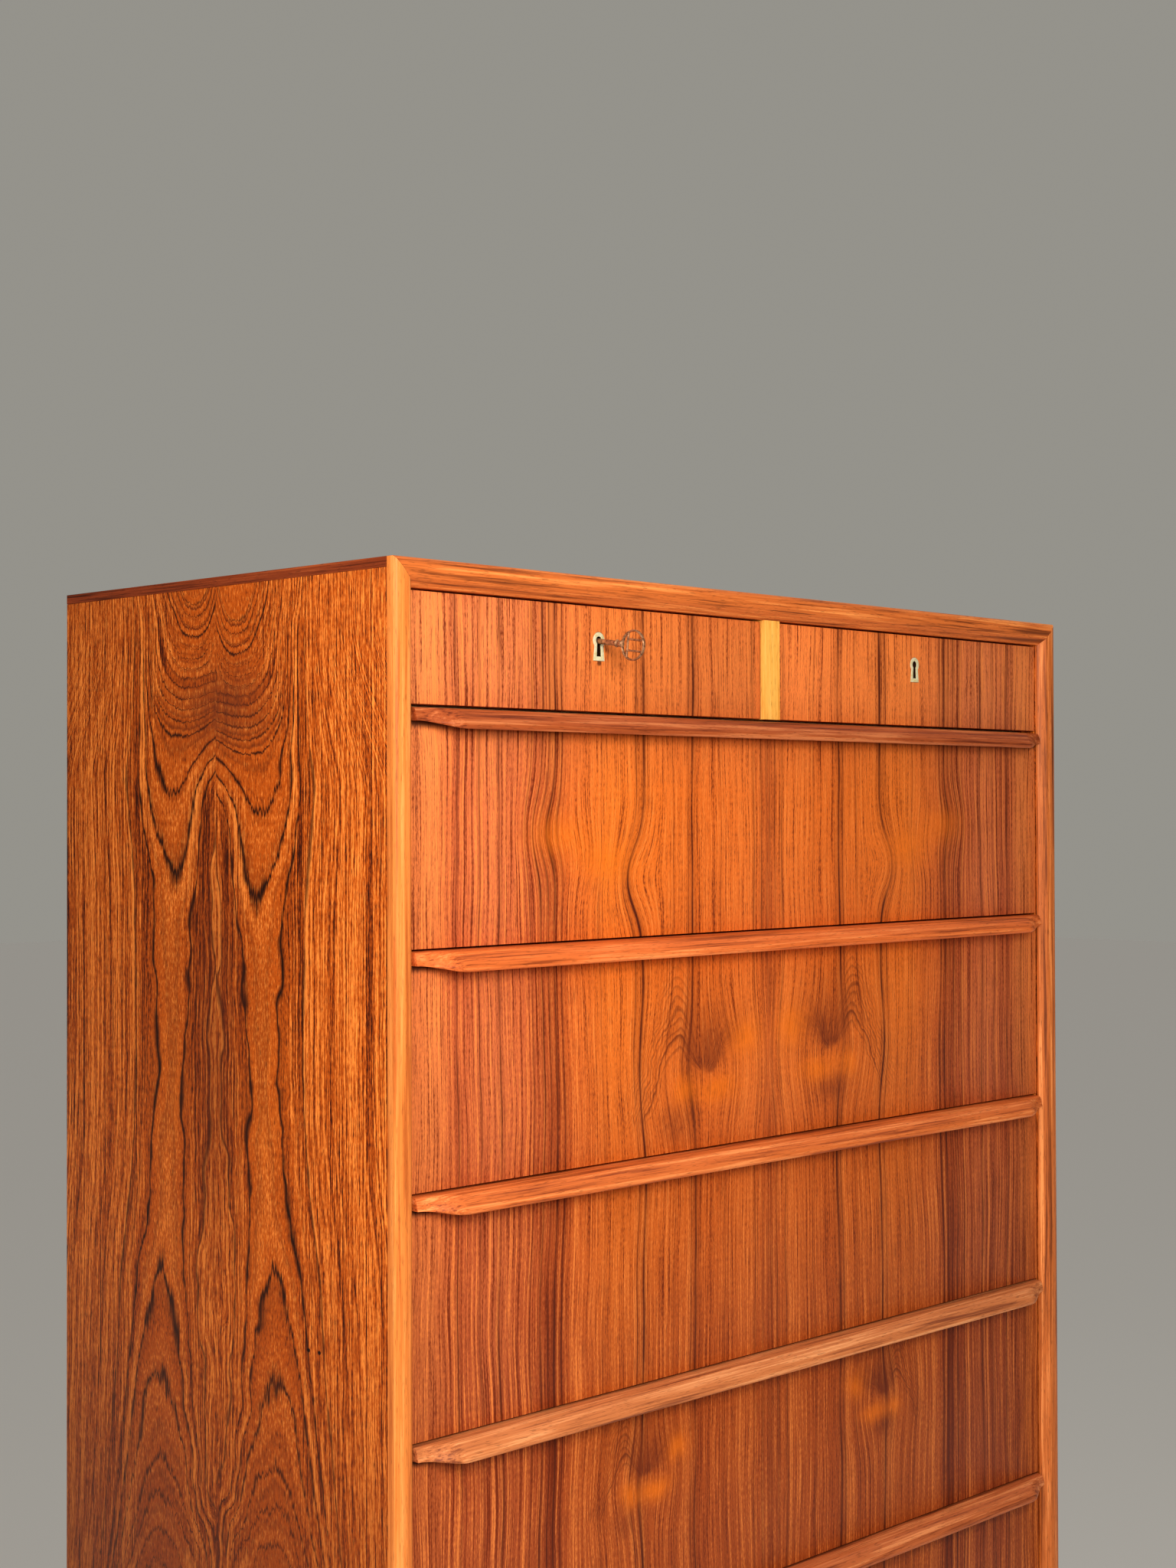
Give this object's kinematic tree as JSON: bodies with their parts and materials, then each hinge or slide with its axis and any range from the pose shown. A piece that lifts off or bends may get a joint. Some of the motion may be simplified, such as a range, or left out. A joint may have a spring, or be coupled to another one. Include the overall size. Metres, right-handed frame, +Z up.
{
  "type": "chest of drawers",
  "caption": "Tall teak chest: small locking drawers over full-width drawers pulled by shaped lips, in a mitred case with rounded front edges on tapered legs.",
  "frame": {"origin": "on the floor, under the middle of the whole object's box, key included", "axes": "+Z up, the drawers face -Y, +X to the right of someone facing the front"},
  "size_m": [0.9, 0.4807, 1.2416],
  "materials": {
    "teak_veneer": "oiled teak veneer, book-matched",
    "solid_teak": "oiled solid teak",
    "dark_teak": "oiled dark teak",
    "beech": "plain beech",
    "plywood": "plain plywood",
    "lock_steel": "dull steel",
    "pale_brass": "worn pale brass",
    "key_bronze": "aged bronze"
  },
  "bodies": {
    "case": {"lipping_left": "solid_teak", "lipping_right": "solid_teak", "lipping_top": "solid_teak", "lipping_bottom": "solid_teak", "side_board_left": "teak_veneer", "side_board_right": "teak_veneer", "corner_strip_left": "dark_teak", "corner_strip_right": "dark_teak", "top_board": "teak_veneer", "bottom_board": "teak_veneer", "back_panel": "plywood", "shelf": "plywood", "divider_board": "plywood", "divider_strip": "solid_teak", "leg_front_left": "solid_teak", "leg_front_right": "solid_teak", "leg_back_left": "solid_teak", "leg_back_right": "solid_teak", "runner_1_left": "beech", "runner_1_right": "beech", "runner_2_left": "beech", "runner_2_right": "beech", "runner_3_left": "beech", "runner_3_right": "beech", "runner_4_left": "beech", "runner_4_right": "beech", "runner_5_left": "beech", "runner_5_right": "beech"},
    "large_drawer_1": {"drawer_front_1": "teak_veneer", "lip_pull_1": "solid_teak", "drawer_box_1": "beech", "drawer_bottom_1": "plywood"},
    "large_drawer_2": {"drawer_front_2": "teak_veneer", "lip_pull_2": "solid_teak", "drawer_box_2": "beech", "drawer_bottom_2": "plywood"},
    "large_drawer_3": {"drawer_front_3": "teak_veneer", "lip_pull_3": "solid_teak", "drawer_box_3": "beech", "drawer_bottom_3": "plywood"},
    "large_drawer_4": {"drawer_front_4": "teak_veneer", "lip_pull_4": "solid_teak", "drawer_box_4": "beech", "drawer_bottom_4": "plywood"},
    "large_drawer_5": {"drawer_front_5": "teak_veneer", "lip_pull_5": "solid_teak", "drawer_box_5": "beech", "drawer_bottom_5": "plywood"},
    "small_drawer_left": {"small_front_left": "teak_veneer", "small_box_left": "beech", "lock_case_left": "lock_steel", "keyhole_inlay_left": "pale_brass"},
    "bolt_left": {"lock_bolt_left": "lock_steel"},
    "small_drawer_right": {"small_front_right": "teak_veneer", "small_box_right": "beech", "lock_case_right": "lock_steel", "keyhole_inlay_right": "pale_brass"},
    "bolt_right": {"lock_bolt_right": "lock_steel"},
    "key": {"key": "key_bronze"}
  },
  "joints": [
    {"name": "large_drawer_1_slide", "type": "slide", "parent": "case", "child": "large_drawer_1", "axis": [0, -1, 0], "range_m": [0, 0.3]},
    {"name": "large_drawer_2_slide", "type": "slide", "parent": "case", "child": "large_drawer_2", "axis": [0, -1, 0], "range_m": [0, 0.3]},
    {"name": "large_drawer_3_slide", "type": "slide", "parent": "case", "child": "large_drawer_3", "axis": [0, -1, 0], "range_m": [0, 0.3]},
    {"name": "large_drawer_4_slide", "type": "slide", "parent": "case", "child": "large_drawer_4", "axis": [0, -1, 0], "range_m": [0, 0.3]},
    {"name": "large_drawer_5_slide", "type": "slide", "parent": "case", "child": "large_drawer_5", "axis": [0, -1, 0], "range_m": [0, 0.3]},
    {"name": "small_drawer_left_slide", "type": "slide", "parent": "case", "child": "small_drawer_left", "axis": [0, -1, 0], "range_m": [0, 0.28]},
    {"name": "small_drawer_right_slide", "type": "slide", "parent": "case", "child": "small_drawer_right", "axis": [0, -1, 0], "range_m": [0, 0.28]},
    {"name": "key_turn", "type": "hinge", "parent": "small_drawer_left", "child": "key", "pos_m": [-0.2194, -0.18904, 1.1896], "axis": [0, 0.9903, 0.1392], "range_deg": [0, 360]},
    {"name": "bolt_left_slide", "type": "slide", "parent": "small_drawer_left", "child": "bolt_left", "axis": [0, 0, 1], "range_m": [0, 0.008]},
    {"name": "bolt_right_slide", "type": "slide", "parent": "small_drawer_right", "child": "bolt_right", "axis": [0, 0, 1], "range_m": [0, 0.008]}
  ],
  "couplings": [
    {"joint": "bolt_left_slide", "follows": "key_turn", "m_per_rad": 0.00127}
  ]
}
